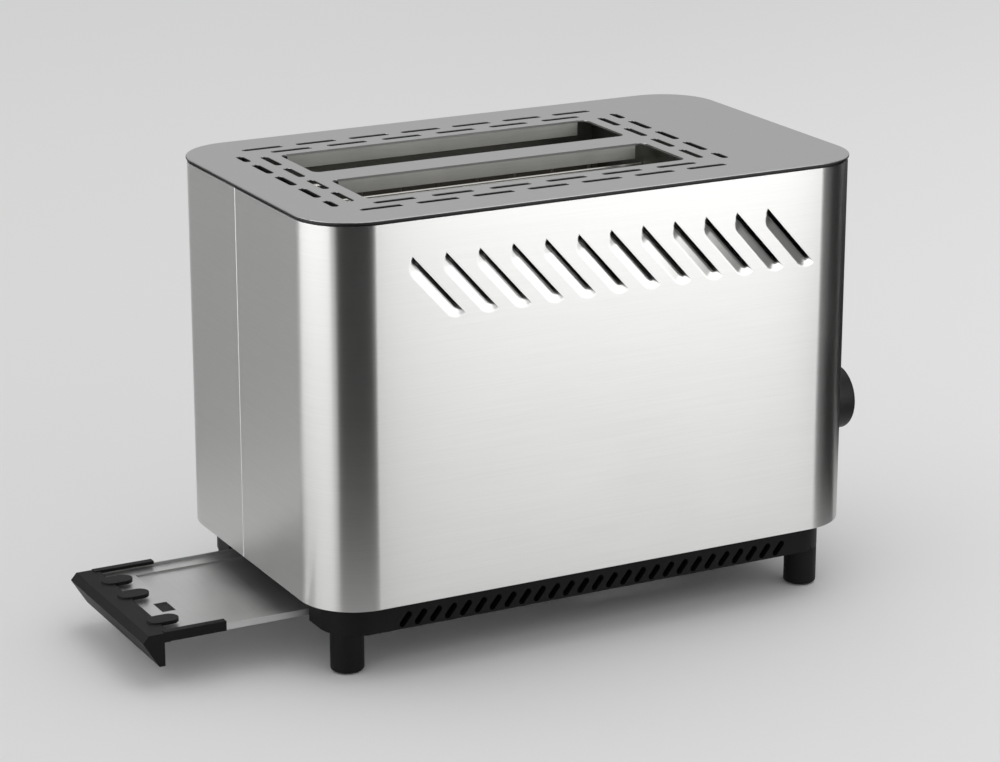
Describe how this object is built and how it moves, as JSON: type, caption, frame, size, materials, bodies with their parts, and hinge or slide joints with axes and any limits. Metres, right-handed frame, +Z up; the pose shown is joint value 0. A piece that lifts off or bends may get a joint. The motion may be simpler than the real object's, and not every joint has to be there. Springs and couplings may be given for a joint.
{
  "type": "toaster",
  "caption": "Long-bodied toaster in brushed steel with bread slots in a perforated top plate, slanted louvres, a black vented base on legs, and a crumb tray drawn out at one end.",
  "frame": {"origin": "on the table, under the middle of the whole object's box, with the crumb tray drawn out as at rest; the body's own middle is 23 mm further along +X", "axes": "+X along the body towards the lever end, +Y towards the plain long side away from the browning knob, +Z up"},
  "size_m": [0.346, 0.157, 0.1969],
  "materials": {
    "wrap_steel": "brushed lengthwise, satin",
    "plate_steel": "fine satin",
    "tray_steel": "mill finish",
    "inner_steel": "mill finish",
    "rod_steel": "drawn",
    "spring_steel": "drawn",
    "screw_steel": "plated",
    "magnet_steel": "semi-gloss",
    "heater_ribbon": "oxidised",
    "mica": "matte, flaky",
    "black_plastic": "fine texture",
    "knob_plastic": "satin",
    "component_plastic": "plain",
    "board_laminate": "plain",
    "foot_rubber": "matte"
  },
  "bodies": {
    "toaster_body": {"base": "black_plastic", "foot_pads": "foot_rubber", "front_shell": "wrap_steel", "rear_shell": "wrap_steel", "top_plate": "plate_steel", "tray_end_plate": "inner_steel", "lever_end_plate": "inner_steel", "front_reflector": "inner_steel", "rear_reflector": "inner_steel", "front_heater_card": "mica", "centre_heater_card": "mica", "rear_heater_card": "mica", "front_heater_ribbon": "heater_ribbon", "centre_heater_ribbons": "heater_ribbon", "rear_heater_ribbon": "heater_ribbon", "guide_rod": "rod_steel", "lift_spring": "spring_steel", "latch_magnet": "magnet_steel", "board_bracket": "inner_steel", "control_board": "board_laminate", "button_board": "board_laminate", "browning_control": "component_plastic", "button_switches": "component_plastic", "deck_screws": "screw_steel", "board_screws": "screw_steel", "cord_gland": "black_plastic"},
    "tray": {"crumb_tray": "tray_steel", "tray_handle": "black_plastic"},
    "carriage": {"carriage": "inner_steel", "front_bread_rack": "rod_steel", "rear_bread_rack": "rod_steel", "lever_knob": "knob_plastic"},
    "front_near_guard": {"front_slot_near_guard": "rod_steel"},
    "front_far_guard": {"front_slot_far_guard": "rod_steel"},
    "rear_near_guard": {"rear_slot_near_guard": "rod_steel"},
    "rear_far_guard": {"rear_slot_far_guard": "rod_steel"},
    "browning_dial": {"browning_knob": "knob_plastic", "browning_shaft": "component_plastic"},
    "cancel": {"cancel_button": "knob_plastic"},
    "reheat": {"reheat_button": "knob_plastic"},
    "defrost": {"defrost_button": "knob_plastic"}
  },
  "joints": [
    {"name": "tray_slide", "type": "slide", "parent": "toaster_body", "child": "tray", "axis": [-1, 0, 0], "range_m": [-0.074, 0.06]},
    {"name": "lift_slide", "type": "slide", "parent": "toaster_body", "child": "carriage", "axis": [0, 0, -1], "range_m": [0, 0.07], "stiffness_N_per_m": 40, "springref_m": -0.05, "deforming": ["lift_spring"]},
    {"name": "front_near_guard_slide", "type": "slide", "parent": "toaster_body", "child": "front_near_guard", "axis": [0, 1, 0], "range_m": [0, 0.006]},
    {"name": "front_far_guard_slide", "type": "slide", "parent": "toaster_body", "child": "front_far_guard", "axis": [0, -1, 0], "range_m": [0, 0.006]},
    {"name": "rear_near_guard_slide", "type": "slide", "parent": "toaster_body", "child": "rear_near_guard", "axis": [0, 1, 0], "range_m": [0, 0.006]},
    {"name": "rear_far_guard_slide", "type": "slide", "parent": "toaster_body", "child": "rear_far_guard", "axis": [0, -1, 0], "range_m": [0, 0.006]},
    {"name": "browning_turn", "type": "hinge", "parent": "toaster_body", "child": "browning_dial", "pos_m": [0.153, -0.0335, 0.0752], "axis": [1, 0, 0], "range_deg": [-135, 135]},
    {"name": "cancel_press", "type": "slide", "parent": "toaster_body", "child": "cancel", "axis": [-1, 0, 0], "range_m": [0, 0.0015], "stiffness_N_per_m": 200, "springref_m": -0.001},
    {"name": "reheat_press", "type": "slide", "parent": "toaster_body", "child": "reheat", "axis": [-1, 0, 0], "range_m": [0, 0.0015], "stiffness_N_per_m": 200, "springref_m": -0.001},
    {"name": "defrost_press", "type": "slide", "parent": "toaster_body", "child": "defrost", "axis": [-1, 0, 0], "range_m": [0, 0.0015], "stiffness_N_per_m": 200, "springref_m": -0.001}
  ],
  "couplings": [
    {"joint": "front_near_guard_slide", "follows": "lift_slide", "ratio": 0.085714},
    {"joint": "front_far_guard_slide", "follows": "lift_slide", "ratio": 0.085714},
    {"joint": "rear_near_guard_slide", "follows": "lift_slide", "ratio": 0.085714},
    {"joint": "rear_far_guard_slide", "follows": "lift_slide", "ratio": 0.085714}
  ]
}
